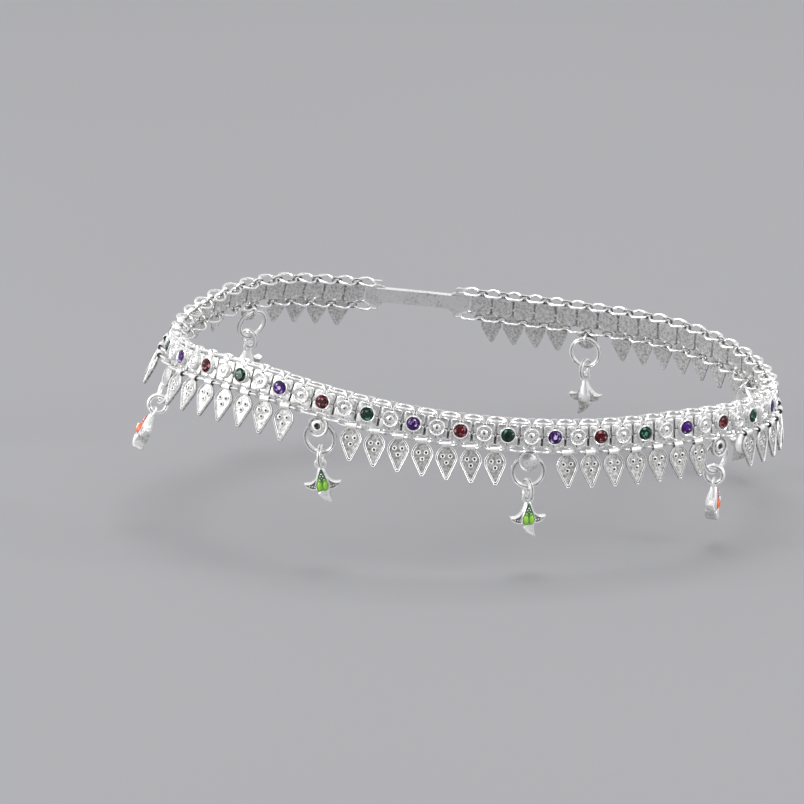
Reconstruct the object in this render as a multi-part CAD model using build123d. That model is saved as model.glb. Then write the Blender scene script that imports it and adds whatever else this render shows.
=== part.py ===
from build123d import *
import math
import os

# Payal: a silver anklet worn round an ankle, drawn as a whole closed loop.
# Millimetres. +Z is up, -X is the instep, +X is the heel, -Y is the side that is looked at.
# The origin is the middle of the ankle at the height of the band.
#
# The band is a chain of cast links. Each link is one soldered solid: a plate of
# four lobes, a round cup, an eye above and below, and two jump rings fixed to
# the right ends of its eyes that pass loosely through the next link's eyes.
# Leaves hang on the front of the lower jump rings. Every ninth link carries a
# round head, a big ring, a bail ring and an enamelled lily charm.

# ---- Loop ----
LOOP_HALF_LENGTH = 50.63     # instep to heel, along X
LOOP_HALF_WIDTH = 33.09      # side to side, along Y
LOOP_TILT = 6.33             # degrees, the heel side lies lower
END_RISE = 3.74              # the band climbs towards instep and heel
INSTEP_DIP = 5.46            # and drops again over the instep itself
HEEL_DIP = 3.05              # and round the heel
DIP_START = 0.6              # share of the half length where the dips begin
STATIONS = 70                # link places round the whole loop
FRONT_LINK = 7               # link next to the foremost point of the loop
FRONT_OFFSET = 2.0           # how far that link lies past the foremost point
PATH_STEPS = 3600            # steps used to measure along the loop

# ---- What each station carries ----
FIRST_LINK = -23
LAST_LINK = 41
CLASP_START = 42
CLASP_END = 46
DROP_SPACING = 9             # links from one hanging drop to the next
DROP_STATIONS = [DROP_SPACING * k for k in range(-2, 5)]
STONE_COLOURS = ["red", "green", "purple"]   # every second link, in turn

# ---- Lean of each part against the leg (0 is upright) ----
BAND_LEAN_HEEL = 0.08
BAND_LEAN_INSTEP = 0.45
LEAF_LEAN_HEEL = 0.10
LEAF_LEAN_INSTEP = 0.50
DROP_LEAN_INSTEP = 0.65
DROP_LEAN_START = 0.55       # share of the half length where drops begin to lie on the foot

# ---- Link ----
PLATE_BACK = 0.25            # behind the band's middle surface
PLATE_FRONT = 0.15           # in front of it
PLATE_WIDTH = 3.5
PLATE_TOP = 1.75
PLATE_BOTTOM = -2.0
PLATE_CORNER = 0.75
LOBE_EDGE = 0.18             # between the four lobes and the plate's edge, taken from each
LOBE_GAP = 0.12              # between neighbouring lobes
LOBE_CORNER = 0.6
LOBE_RAISE = 0.3
CUP_RADIUS = 1.36
CUP_FRONT = 1.25             # rim of the cup, in front of the middle surface
CUP_BORE = 1.17
STONE_SEAT = 0.35            # floor of a stone's cup
DOME_FLOOR = 0.8             # floor round a dome
DOME_RADIUS = 0.75
DOME_SINK = 0.2              # a dome's centre lies this far behind its floor
CUT_PAST = 1.0               # how far a cutter reaches past the face it opens

# ---- Jump rings and their eyes ----
WIRE = 0.22                  # radius of a jump ring's wire
RING_TOP = 2.25              # height of the upper rings
RING_BOTTOM = -2.45          # height of the lower rings
WIRE_OFFSET = 0.38           # a ring's wire crosses its eye this far from the link's middle
EYE_WIDTH = 1.9
EYE_MARGIN = 0.55            # eye's edge above or below the ring's plane
EYE_REACH = 0.3              # how much deeper the eye's tab runs into the plate
EYE_CORNER = 0.4
SLOT_LEFT = -0.75
SLOT_RIGHT = 0.45
SLOT_HEIGHT = 0.74
SLOT_DEPTH = 4.0

# ---- Stone ----
STONE_RADIUS = 1.06
TABLE_RADIUS = 0.6
CULET_RADIUS = 0.12
GIRDLE_FRONT = 1.05
TABLE_FRONT = 1.4
CULET_FRONT = 0.48
STONE_SIDES = 8

# ---- Leaf ----
COLLAR_RADIUS = 0.66
COLLAR_WIDTH = 1.3
COLLAR_BORE = 0.5
RING_RADIUS = 1.52           # usual radius of a lower jump ring
LEAF_NECK = (0.92, -0.42)    # outline's right half: half width, height
LEAF_FLARE = (1.56, -1.2)
LEAF_SHOULDER = (1.82, -2.05)
LEAF_WAIST = (1.66, -2.8)
LEAF_TAPER = (0.34, -5.6)
LEAF_TIP = -5.8
LEAF_BACK = 0.2
LEAF_FRONT = 0.28
LEAF_RIM = 0.3
LEAF_RECESS = 0.16
LEAF_GRANULE = 0.4
LEAF_GRANULES = [(-0.62, -1.9), (0.62, -1.9), (0.0, -2.95)]        # sideways, height

# ---- Hanging drop ----
HEAD_HEIGHT = -4.2
HEAD_RADIUS = 1.8
HEAD_TOP = -2.81             # the disc is cut off there, below the jump rings
HEAD_BACK = 0.1              # all of these in front of the middle surface
HEAD_NECK_BACK = 0.05
HEAD_NECK_FRONT = 0.3
HEAD_FLOOR = 0.55
HEAD_FRONT = 0.75
HEAD_DOME_FRONT = 1.1
HEAD_RIM = 0.28
HEAD_DOME = 1.05             # radius of the dome's sphere
HEAD_EYE_HEIGHT = -3.78
HEAD_EYE_BACK = 0.58
HEAD_EYE_RADIUS = 0.86
HEAD_EYE_WIRE = 0.24
HEAD_NECK_HALF = 1.05
BIG_RING = 2.55
BIG_WIRE = 0.42
BAIL_RING = 1.48
BAIL_WIRE = 0.42
LINK_GAP = 0.13              # clearance between linked rings
BAIL_TURNS = [14, -16, 12, 17, 32, 15, -13]    # degrees out of square, a drop each
CHARM_TURNS = [6, -4, 18, 8, 32, 6, -8]        # degrees about the upright, a drop each
CHARM_SWINGS = [4, -3, -6, 1, 5, -4, 3]        # degrees sideways, a drop each
BAIL_CENTRE = -2 * BIG_RING + BIG_WIRE + BAIL_WIRE + LINK_GAP - BAIL_RING
CHARM_LOOP = 0.82
CHARM_LOOP_WIRE = 0.24
CHARM_ORIGIN = BAIL_CENTRE - BAIL_RING

# ---- Charm: a lily bell with two curled petals and a tongue ----
# Points are sideways and height below the charm's own loop.
BELL_SIDE = [
    (0.0, -0.58), (0.55, -0.68), (0.86, -1.8), (1.26, -2.9), (1.3, -4.15), (0.7, -4.8), (0.0, -4.8),
]
BELL_FLAT = 0.8              # the front of the bell is cut flat this far out
BELL_FLAT_CUT = (8.0, 4.0, 8.0)
BELL_MIDDLE = -3.0
PETAL_HALF = 0.65            # petals reach this far to the front and back
TONGUE_BACK = 1.2
TONGUE_FRONT = 0.78
PETAL_TOP = [(0.45, -2.2), (0.95, -2.75), (1.5, -3.05)]
PETAL_CURL = [(1.5, -3.05), (2.3, -3.35), (3.02, -3.12)]
PETAL_BELLY = [(3.02, -3.12), (2.6, -3.9), (1.9, -4.3)]
PETAL_ROOT = (0.5, -4.35)
TONGUE_LEFT = [(-0.9, -4.4), (-0.42, -5.65), (0.9, -6.68)]
TONGUE_RIGHT = [(1.28, -6.6), (0.98, -5.6), (1.02, -4.4)]
ENAMEL_DEPTH = 0.3
ENAMEL_GAP = 0.11
ENAMEL_FIELDS = [            # sideways, height, half width, half height
    (0.0, -1.85, 0.4, 0.82),
    (-0.5, -3.7, 0.34, 0.7),
    (0.5, -3.7, 0.34, 0.7),
]

# ---- Clasp ----
CLASP_HALF_HEIGHT = 1.3
CLASP_THICKNESS = 0.9


def loop_point(turn):
    """A point of the band's middle line, turn in radians from the heel."""
    x = LOOP_HALF_LENGTH * math.cos(turn)
    y = LOOP_HALF_WIDTH * math.sin(turn)
    share = x / LOOP_HALF_LENGTH
    past_dip = max(0.0, (abs(share) - DIP_START) / (1 - DIP_START))
    dip = INSTEP_DIP if x < 0 else HEEL_DIP
    tilt = math.tan(math.radians(LOOP_TILT))
    return Vector(x, y, -tilt * x + END_RISE * share ** 2 - dip * past_dip ** 2)


def measure_loop():
    """Lengths along the loop from its foremost point, one for each small step."""
    lengths = [0.0]
    here = loop_point(1.5 * math.pi)
    for step in range(1, PATH_STEPS + 1):
        there = loop_point(1.5 * math.pi + 2 * math.pi * step / PATH_STEPS)
        lengths.append(lengths[-1] + (there - here).length)
        here = there
    return lengths


LENGTHS = measure_loop()
PITCH = LENGTHS[-1] / STATIONS


def turn_at(length):
    """The turn at which a length along the loop is reached."""
    length %= LENGTHS[-1]
    low, high = 0, PATH_STEPS
    while high - low > 1:
        middle = (low + high) // 2
        if LENGTHS[middle] <= length:
            low = middle
        else:
            high = middle
    share = (length - LENGTHS[low]) / (LENGTHS[high] - LENGTHS[low])
    return 1.5 * math.pi + 2 * math.pi * (low + share) / PATH_STEPS


def toward_instep(x):
    """0 at the heel, 1 at the instep."""
    return (1 - x / LOOP_HALF_LENGTH) / 2


def frame_at(station):
    """Middle point, direction along the band, and horizontal outward direction."""
    turn = turn_at(FRONT_OFFSET + (station - FRONT_LINK) * PITCH)
    centre = loop_point(turn)
    step = 0.001
    along = (loop_point(turn + step) - loop_point(turn - step)).normalized()
    outward = Vector(along.Y, -along.X, 0).normalized()
    return centre, along, outward


def square_to(along, direction):
    """The part of a direction that is square to along, as a unit vector."""
    return (direction - along * direction.dot(along)).normalized()


def link_plane(station):
    """Plane of a link: x along the band, z up its face, y inward."""
    centre, along, outward = frame_at(station)
    lean = BAND_LEAN_HEEL
    lean += (BAND_LEAN_INSTEP - BAND_LEAN_HEEL) * toward_instep(centre.X) ** 3
    up = square_to(along, Vector(0, 0, 1) - outward * lean)
    return Plane(origin=centre, x_dir=along, z_dir=up)


def place(shape, plane):
    """A shape drawn round the origin, moved onto a plane."""
    return plane.location * shape


def panel(sketch, back, front):
    """A sketch of the X-Z plane made solid from back to front, front towards -Y."""
    return extrude(Plane.XZ.offset(-back) * sketch, amount=back + front)


def stud(x, z, radius, back, front):
    """A round post from back to front at x, z."""
    return panel(Pos(x, z) * Circle(radius), back, front)


def ring(radius, wire):
    """A ring of round wire, lying flat."""
    return Torus(radius, wire)


def link_plate():
    """Four-lobed plate with an eye above and one below."""
    height = PLATE_TOP - PLATE_BOTTOM
    middle = (PLATE_TOP + PLATE_BOTTOM) / 2
    outline = Pos(0, middle) * RectangleRounded(PLATE_WIDTH, height, PLATE_CORNER)
    tab = RectangleRounded(EYE_WIDTH, EYE_MARGIN * 2 + EYE_REACH, EYE_CORNER)
    outline += Pos(0, RING_TOP - EYE_REACH / 2) * tab
    outline += Pos(0, RING_BOTTOM + EYE_REACH / 2) * tab
    plate = panel(outline, PLATE_BACK, PLATE_FRONT)
    lobe_width = PLATE_WIDTH / 2 - LOBE_EDGE
    lobe_height = height / 2 - LOBE_EDGE
    pad = RectangleRounded(lobe_width, lobe_height, LOBE_CORNER)
    for side in (-1, 1):
        for half in (-1, 1):
            x = side * (lobe_width + LOBE_GAP) / 2
            z = middle + half * (lobe_height + LOBE_GAP) / 2
            plate += panel(Pos(x, z) * pad, 0, LOBE_RAISE)
    return plate


def cut_slots(link):
    """Opens the two eyes for the jump rings."""
    slot = Box(SLOT_RIGHT - SLOT_LEFT, SLOT_DEPTH, SLOT_HEIGHT)
    for level in (RING_TOP, RING_BOTTOM):
        link -= Pos((SLOT_LEFT + SLOT_RIGHT) / 2, 0, level) * slot
    return link


def head():
    """Round domed head under a link, with an eye behind it for the big ring."""
    disc = stud(0, HEAD_HEIGHT, HEAD_RADIUS, -HEAD_BACK, HEAD_FRONT)
    disc -= stud(0, HEAD_HEIGHT, HEAD_RADIUS - HEAD_RIM, -HEAD_FLOOR, HEAD_FRONT + CUT_PAST)
    above = Rectangle(2 * HEAD_RADIUS, HEAD_RADIUS)
    disc -= panel(Pos(0, HEAD_TOP + HEAD_RADIUS / 2) * above, 0, HEAD_FRONT + CUT_PAST)
    dome = Pos(0, HEAD_DOME - HEAD_DOME_FRONT, HEAD_HEIGHT) * Sphere(HEAD_DOME)
    behind = Pos(0, HEAD_DOME - HEAD_BACK, HEAD_HEIGHT)
    dome -= behind * Box(4 * HEAD_DOME, 2 * HEAD_DOME, 4 * HEAD_DOME)
    neck_top = RING_BOTTOM - SLOT_HEIGHT / 2
    neck = Rectangle(HEAD_NECK_HALF * 2, neck_top - HEAD_HEIGHT)
    neck = panel(Pos(0, (neck_top + HEAD_HEIGHT) / 2) * neck, -HEAD_NECK_BACK, HEAD_NECK_FRONT)
    eye = Rot(0, 90, 0) * ring(HEAD_EYE_RADIUS, HEAD_EYE_WIRE)
    return disc + dome + neck + Pos(0, HEAD_EYE_BACK, HEAD_EYE_HEIGHT) * eye


def link_body(with_stone, with_drop):
    """One link without its jump rings: a bored cup for a stone, or a dome in a shallow cup."""
    floor = STONE_SEAT if with_stone else DOME_FLOOR
    link = link_plate() + stud(0, 0, CUP_RADIUS, PLATE_BACK, CUP_FRONT)
    link -= stud(0, 0, CUP_BORE, -floor, CUP_FRONT + CUT_PAST)
    if not with_stone:
        link += Pos(0, DOME_SINK - DOME_FLOOR, 0) * Sphere(DOME_RADIUS)
    if with_drop:
        link += head()
    return cut_slots(link)


def jump_ring_plane(station, level):
    """Plane and radius of the jump ring between a link and the next one."""
    here = link_plane(station)
    there = link_plane(station + 1)
    start = here.origin + here.z_dir * level
    end = there.origin + there.z_dir * level
    along = (end - start).normalized()
    up = square_to(along, here.z_dir + there.z_dir)
    radius = (end - start).length / 2 - WIRE_OFFSET
    return Plane(origin=(start + end) / 2, x_dir=along, z_dir=up), radius


def with_jump_rings(link, station):
    """A placed link with the two rings at its right soldered on."""
    for level in (RING_TOP, RING_BOTTOM):
        plane, radius = jump_ring_plane(station, level)
        link += place(ring(radius, WIRE), plane)
    return link


def stone():
    """Eight-sided cut stone: table, crown, girdle and pavilion."""
    girdle = Plane.XZ.offset(GIRDLE_FRONT) * RegularPolygon(STONE_RADIUS, STONE_SIDES)
    table = Plane.XZ.offset(TABLE_FRONT) * RegularPolygon(TABLE_RADIUS, STONE_SIDES)
    culet = Plane.XZ.offset(CULET_FRONT) * RegularPolygon(CULET_RADIUS, STONE_SIDES)
    crown = loft([girdle, table], ruled=True)
    pavilion = loft([culet, girdle], ruled=True)
    return crown + pavilion


def leaf_outline():
    """Spade outline of a leaf, neck up and blunt tip down."""
    right = Line(LEAF_NECK, LEAF_FLARE) + ThreePointArc(LEAF_FLARE, LEAF_SHOULDER, LEAF_WAIST)
    right += Line(LEAF_WAIST, LEAF_TAPER)
    left = mirror(right, about=Plane.YZ)
    end = ThreePointArc(LEAF_TAPER, (0, LEAF_TIP), (-LEAF_TAPER[0], LEAF_TAPER[1]))
    return make_face(left + end + right + Line((-LEAF_NECK[0], LEAF_NECK[1]), LEAF_NECK))


def leaf():
    """One leaf, drawn round the wire that it hangs on."""
    outline = leaf_outline()
    floor = LEAF_FRONT - LEAF_RECESS
    body = panel(outline, LEAF_BACK, LEAF_FRONT)
    field = offset(outline, amount=-LEAF_RIM, kind=Kind.INTERSECTION)
    body -= panel(field, -floor, LEAF_FRONT + CUT_PAST)
    for x, z in LEAF_GRANULES:
        body += Pos(x, -floor, z) * Sphere(LEAF_GRANULE)
    body += Rot(0, 90, 0) * Cylinder(COLLAR_RADIUS, COLLAR_WIDTH)
    return body - Pos(0, RING_RADIUS, 0) * ring(RING_RADIUS, COLLAR_BORE)


def leaf_plane(station):
    """Plane of the leaf on the lower ring right of a link, at the wire's front."""
    plane, radius = jump_ring_plane(station, RING_BOTTOM)
    outward = -plane.y_dir
    wire = plane.origin + outward * radius
    level = Vector(outward.X, outward.Y, 0).normalized()
    lean = LEAF_LEAN_HEEL
    lean += (LEAF_LEAN_INSTEP - LEAF_LEAN_HEEL) * toward_instep(wire.X)
    down = (level * lean - Vector(0, 0, 1)).normalized()
    return Plane(origin=wire, x_dir=square_to(down, plane.x_dir), z_dir=-down)


def drop_plane(station):
    """Plane of a hanging drop: origin in the head's eye, z up the drop."""
    centre, along, outward = frame_at(station)
    eye = link_plane(station).from_local_coords(Vector(0, HEAD_EYE_BACK, HEAD_EYE_HEIGHT))
    share = -centre.X / LOOP_HALF_LENGTH
    lying = max(0.0, (share - DROP_LEAN_START) / (1 - DROP_LEAN_START))
    down = (outward * DROP_LEAN_INSTEP * lying - Vector(0, 0, 1)).normalized()
    return Plane(origin=eye, x_dir=square_to(down, along), z_dir=-down)


def big_ring():
    """Ring that faces outward and hangs in the head's eye."""
    return Pos(0, 0, -BIG_RING) * Rot(90, 0, 0) * ring(BIG_RING, BIG_WIRE)


def bail(turn):
    """Ring about at right angles to the big ring, through which the charm hangs."""
    return Pos(0, 0, BAIL_CENTRE) * Rot(0, 0, turn) * Rot(0, 90, 0) * ring(BAIL_RING, BAIL_WIRE)


def petal_outline(side):
    """Front outline of one curled side petal."""
    edge = None
    for points in (PETAL_TOP, PETAL_CURL, PETAL_BELLY):
        arc = ThreePointArc(*[(side * x, z) for x, z in points])
        edge = arc if edge is None else edge + arc
    start, end = PETAL_TOP[0], PETAL_BELLY[-1]
    root = Polyline(*[(side * x, z) for x, z in (end, PETAL_ROOT, start)])
    return make_face(edge + root)


def tongue_outline():
    """Front outline of the lower petal, bent to one side."""
    sides = ThreePointArc(*TONGUE_LEFT) + ThreePointArc(*TONGUE_RIGHT)
    tip = Line(TONGUE_LEFT[-1], TONGUE_RIGHT[0])
    return make_face(sides + tip + Line(TONGUE_RIGHT[-1], TONGUE_LEFT[0]))


def enamel_outlines(margin):
    """Dark field at the top and two light fields at the heart, grown by a margin."""
    return [
        Pos(x, z) * Ellipse(half_width + margin, half_height + margin)
        for x, z, half_width, half_height in ENAMEL_FIELDS
    ]


def bell():
    """Solid of revolution: narrow top, swelling heart and rounded mouth, with a flat front."""
    turned = revolve(Plane.XZ * make_face(Polyline(*BELL_SIDE, close=True)), axis=Axis.Z)
    return turned - Pos(0, -BELL_FLAT - BELL_FLAT_CUT[1] / 2, BELL_MIDDLE) * Box(*BELL_FLAT_CUT)


def charm():
    """Lily bell on its own loop, silver part, drawn round the loop's middle."""
    body = bell()
    for side in (-1, 1):
        body += panel(petal_outline(side), PETAL_HALF, PETAL_HALF)
    body += panel(tongue_outline(), TONGUE_BACK, TONGUE_FRONT)
    for recess in enamel_outlines(ENAMEL_GAP):
        body -= panel(recess, ENAMEL_DEPTH - BELL_FLAT, BELL_FLAT + CUT_PAST)
    return body + Rot(90, 0, 0) * ring(CHARM_LOOP, CHARM_LOOP_WIRE)


def charm_enamel():
    """Enamel fields of a charm, each clear of its recess."""
    floor = BELL_FLAT - ENAMEL_DEPTH + ENAMEL_GAP
    fields = []
    for outline in enamel_outlines(0):
        fields += panel(outline, -floor, BELL_FLAT).solids()
    return fields


def clasp():
    """Plain curved bar with an eyed plate at each end, its right end with rings."""
    start = link_plane(CLASP_START)
    middle = link_plane((CLASP_START + CLASP_END) / 2)
    end = link_plane(CLASP_END)
    arc = ThreePointArc(start.origin, middle.origin, end.origin)
    section = Plane(origin=arc @ 0, x_dir=middle.z_dir, z_dir=arc % 0)
    bar = sweep(section * Rectangle(2 * CLASP_HALF_HEIGHT, CLASP_THICKNESS), path=arc)
    plate = cut_slots(link_plate())
    body = bar + place(plate, start) + place(plate, end)
    return with_jump_rings(body, CLASP_END)


def save(name, solids):
    """Writes one node."""
    shape = solids[0] if len(solids) == 1 else Compound(children=solids)
    export_step(shape, f"parts/{name}.step")


def single(shape):
    """The one solid of a shape."""
    found = shape.solids()
    if len(found) != 1:
        raise ValueError(f"{len(found)} solids where one is expected")
    return found[0]


def carries_stone(station):
    return station % 2 == 0


def carries_drop(station):
    return station in DROP_STATIONS


def build_band():
    """All links, stone-set and domed ones in a node each."""
    kinds = {}
    rows = {True: [], False: []}
    for station in range(FIRST_LINK, LAST_LINK + 1):
        kind = (carries_stone(station), carries_drop(station))
        if kind not in kinds:
            kinds[kind] = link_body(*kind)
        link = with_jump_rings(place(kinds[kind], link_plane(station)), station)
        rows[kind[0]].append(single(link))
    save("band_stone_links", rows[True])
    save("band_dome_links", rows[False])


def build_stones():
    """Stones of the band, a node for each colour."""
    cut = single(stone())
    fields = {colour: [] for colour in STONE_COLOURS}
    for station in range(FIRST_LINK, LAST_LINK + 1):
        if carries_stone(station):
            colour = STONE_COLOURS[station // 2 % len(STONE_COLOURS)]
            fields[colour].append(place(cut, link_plane(station)))
    for colour, stones in fields.items():
        save(f"stones_{colour}", stones)


def build_leaves():
    """Leaves between the hanging drops, a node for each stretch."""
    shape = single(leaf())
    first = DROP_STATIONS[0] - DROP_SPACING
    for row in range(len(DROP_STATIONS) + 1):
        start = first + row * DROP_SPACING
        leaves = []
        for station in range(start + 1, start + DROP_SPACING - 1):
            if FIRST_LINK <= station < LAST_LINK:
                leaves.append(place(shape, leaf_plane(station)))
        save(f"leaves_{row + 1}", leaves)


def build_drops():
    """Hanging drops: big ring, bail, charm and its enamel."""
    silver = single(charm())
    rows = zip(DROP_STATIONS, BAIL_TURNS, CHARM_TURNS, CHARM_SWINGS)
    for number, (station, bail_turn, charm_turn, swing) in enumerate(rows, start=1):
        plane = drop_plane(station)
        hung = Pos(0, 0, CHARM_ORIGIN) * Rot(0, 0, charm_turn) * Rot(0, swing, 0)
        save(f"drop_ring_{number}", [place(big_ring(), plane)])
        save(f"drop_bail_{number}", [place(bail(bail_turn), plane)])
        save(f"charm_{number}", [place(hung * silver, plane)])
        save(f"charm_enamel_{number}", [place(hung * field, plane) for field in charm_enamel()])


os.makedirs("parts", exist_ok=True)
build_band()
build_stones()
build_leaves()
build_drops()
save("clasp", [single(clasp())])
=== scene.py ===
"""Looks of the payal anklet: cast silver links, cut stones, leaves and enamelled lily charms.

Sizes are in millimetres and are turned into metres where a mesh is made. Local
frames have x along the band, y inward and z up, so a front faces -y. In the tables
front is how far a row of points stands out towards -y, and the tone says how bright
the silver is painted there: 0 is dark, partly tarnish in a recess and partly painted
shade, and 1 and more is a bright proud edge, partly rubbed and partly a painted highlight.
"""

import math
import random

import bpy
from mathutils import Matrix, Vector


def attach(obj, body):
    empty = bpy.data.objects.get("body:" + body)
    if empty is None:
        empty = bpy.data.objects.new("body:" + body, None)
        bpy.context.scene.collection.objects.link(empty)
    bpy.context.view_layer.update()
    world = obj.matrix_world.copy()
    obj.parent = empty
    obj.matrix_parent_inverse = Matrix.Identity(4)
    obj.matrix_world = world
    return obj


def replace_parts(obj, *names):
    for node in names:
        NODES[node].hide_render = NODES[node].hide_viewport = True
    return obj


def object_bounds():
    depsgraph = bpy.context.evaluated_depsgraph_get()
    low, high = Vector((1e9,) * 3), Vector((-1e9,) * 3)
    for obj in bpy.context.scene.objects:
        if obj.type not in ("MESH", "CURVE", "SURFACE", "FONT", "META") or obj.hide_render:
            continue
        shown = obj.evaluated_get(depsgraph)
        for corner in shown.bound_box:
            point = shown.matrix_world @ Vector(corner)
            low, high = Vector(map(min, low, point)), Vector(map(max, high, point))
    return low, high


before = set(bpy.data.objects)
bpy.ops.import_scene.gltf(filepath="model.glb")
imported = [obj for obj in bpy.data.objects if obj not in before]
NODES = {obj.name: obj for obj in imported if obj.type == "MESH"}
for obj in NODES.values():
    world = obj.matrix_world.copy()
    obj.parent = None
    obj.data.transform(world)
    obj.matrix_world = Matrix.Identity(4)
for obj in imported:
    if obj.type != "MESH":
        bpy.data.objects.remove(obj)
CAD_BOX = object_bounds()
MM = 0.001
QUARTER_TURN = math.radians(90)
SHARP_ANGLE = math.radians(38)

# ---- Loop, as in the solids ----
LOOP_HALF_LENGTH = 50.63      # instep to heel, along x
LOOP_HALF_WIDTH = 33.09       # side to side, along y
LOOP_TILT = 6.33              # degrees, the heel side lies lower
END_RISE = 3.74               # the band climbs towards instep and heel
INSTEP_DIP = 5.46             # and drops again over the instep itself
HEEL_DIP = 3.05               # and round the heel
DIP_START = 0.6               # share of the half length where the dips begin
STATIONS = 70                 # link places round the whole loop
FRONT_LINK = 7                # link next to the foremost point of the loop
FRONT_OFFSET = 2.0            # how far that link lies past the foremost point
FRONT_TURN = 1.5 * math.pi    # the foremost point
PATH_STEPS = 3600             # steps used to measure along the loop
TURN_STEP = 0.001             # radians either side that give the loop's direction
FIRST_LINK = -23
LAST_LINK = 41
DROP_SPACING = 9              # links from one hanging drop to the next
DROP_STATIONS = [DROP_SPACING * k for k in range(-2, 5)]
ORANGE_DROPS = (2, 5)         # numbers of the drops with orange enamel
BAND_LEAN = (0.08, 0.45)      # against the leg at the heel and at the instep, 0 is upright
LEAF_LEAN = (0.10, 0.50)
DROP_LEAN_INSTEP = 0.65
DROP_LEAN_START = 0.55        # share of the half length where drops begin to lie on the foot

# ---- Link ----
PLATE_BACK = 0.25             # behind the band's middle surface
PLATE_FRONT = 0.12            # in front of it
PLATE_TOP = 1.75
PLATE_BOTTOM = -2.0
PLATE_WIDTH = 3.5
LOBE_HALF = (0.885, 0.92)     # half width, half height
LOBE_PLACE = (0.9, 0.93)      # its middle, sideways and up from the plate's middle
LOBE_FRONT = 0.5
EYE_HALF = (0.95, 0.56)
EYE_BORE_HALF = (0.6, 0.37)
EYE_BORE_SHIFT = -0.15        # to the left, where the ring of the link before passes through
CUP_RADIUS = 1.34
CUP_FRONT = 1.25
DOME_RADIUS = 0.74
DOME_BASE = 0.8
DOME_RISE = 0.42
DOME_GRAINS = 12              # grains in a ring round a dome
DOME_GRAIN_CIRCLE = 0.92      # radius of that ring
DOME_GRAIN = 0.12             # radius of a grain
DIMPLE = [                    # small pit at a dome's middle, painted dark as a painted reflection: radius, front, tone
    (0.22, 1.2, 0.7), (0.18, 1.14, 0.0), (0.05, 1.1, 0.0),
]
PRONG_HALF = (0.25, 0.74)
PRONG_LEAN = 27               # degrees
PRONG_SPREAD = 0.42           # either side of the link's middle
PRONG_DROP = 0.2              # below the upper ring's height
FLANGE_HALF_WIDTH = 2.1
FLANGES = [(0.6, 0.9, 0.62), (-1.15, 0.7, 0.1)]     # height, half height, tone; painted shade seen through the slits, the lower strip darker
WIRE = 0.22                   # radius of a jump ring's wire
RING_TOP = 2.25
RING_BOTTOM = -2.45
WIRE_OFFSET = 0.38            # a ring's wire crosses its eye this far from the link's middle
RING_SHINE = {RING_TOP: 0.85, RING_BOTTOM: 1.1}     # painted brightness of the rings' round sides: the upper rings painted darker, the lower ones a painted highlight
FLAT_COSINE = 0.1             # under this, a point of a wire's section is on its flat side

# ---- Stone ----
STONE_RADIUS = 1.08
STONE_SIDES = 8
STONE_ROWS = [                # share of the radius, front, turn in sides
    (0.3, 1.42, 0.5), (0.62, 1.42, 0.0), (0.84, 1.3, 0.5), (1.0, 1.1, 0.0), (1.0, 1.0, 0.0),
]
CULET_FRONT = 0.45
# Tones of the girdle and back facets, painted dark as shade.
GIRDLE_TONE = 0.1
BACK_TONE = 0.3
STONE_SEED = 11

# ---- Leaf: outlines give their right half, from the top down ----
LEAF_BACK = 0.2
LEAF_EDGE = [
    (0.9, -0.42), (1.34, -0.88), (1.66, -1.42), (1.82, -2.1), (1.62, -2.85),
    (0.38, -5.52), (0.16, -5.79),
]
LEAF_FIELD = [                # inside the double raised line
    (0.48, -0.46), (0.92, -1.06), (1.2, -1.52), (1.36, -2.1), (1.2, -2.8),
    (0.17, -5.02), (0.04, -5.16),
]
LEAF_GRANULES = [(-0.62, -1.9), (0.62, -1.9), (0.0, -2.95)]
COLLAR_SIDES = 16
COLLAR_ROWS = [               # place along the ring's wire, radius, tone, bright on the fold as a painted highlight and dark in the bore as painted shade; the last two are the bore
    (-0.8, 0.46, 0.4), (-0.76, 0.52, 0.8), (-0.3, 0.5, 0.85), (0.3, 0.5, 0.85),
    (0.76, 0.52, 0.8), (0.8, 0.46, 0.4), (0.78, 0.36, 0.1), (-0.78, 0.36, 0.1),
]

# ---- Hanging drop ----
HEAD_HEIGHT = -4.2
HEAD_RADIUS = 1.8
HEAD_TOP = -2.81              # the disc is cut off there, below the jump rings
HEAD_NECK_HALF = (1.02, 0.6)
HEAD_NECK_DROP = 0.42         # the neck's middle, below the head's top
HEAD_EYE_HEIGHT = -3.78
HEAD_EYE_BACK = 0.58
HEAD_EYE_RADIUS = 0.86
HEAD_EYE_WIRE = 0.24
BIG_RING = 2.55
BIG_WIRE = 0.42
BAIL_RING = 1.48
BAIL_WIRE = 0.42
GROOVE = 0.74                 # share of a drop ring's wire that is left in its grooves
LINK_GAP = 0.13               # clearance between linked rings
CHARM_LOOP = 0.82
CHARM_LOOP_WIRE = 0.24
BAIL_TURNS = [14, -16, 12, 17, 32, 15, -13]      # degrees out of square, a drop each
CHARM_TURNS = [6, -4, 18, 8, 32, 6, -8]          # degrees about the upright, a drop each
CHARM_SWINGS = [4, -3, -6, 1, 5, -4, 3]          # degrees sideways, a drop each
BAIL_CENTRE = -2 * BIG_RING + BIG_WIRE + BAIL_WIRE + LINK_GAP - BAIL_RING
CHARM_ORIGIN = BAIL_CENTRE - BAIL_RING

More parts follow.
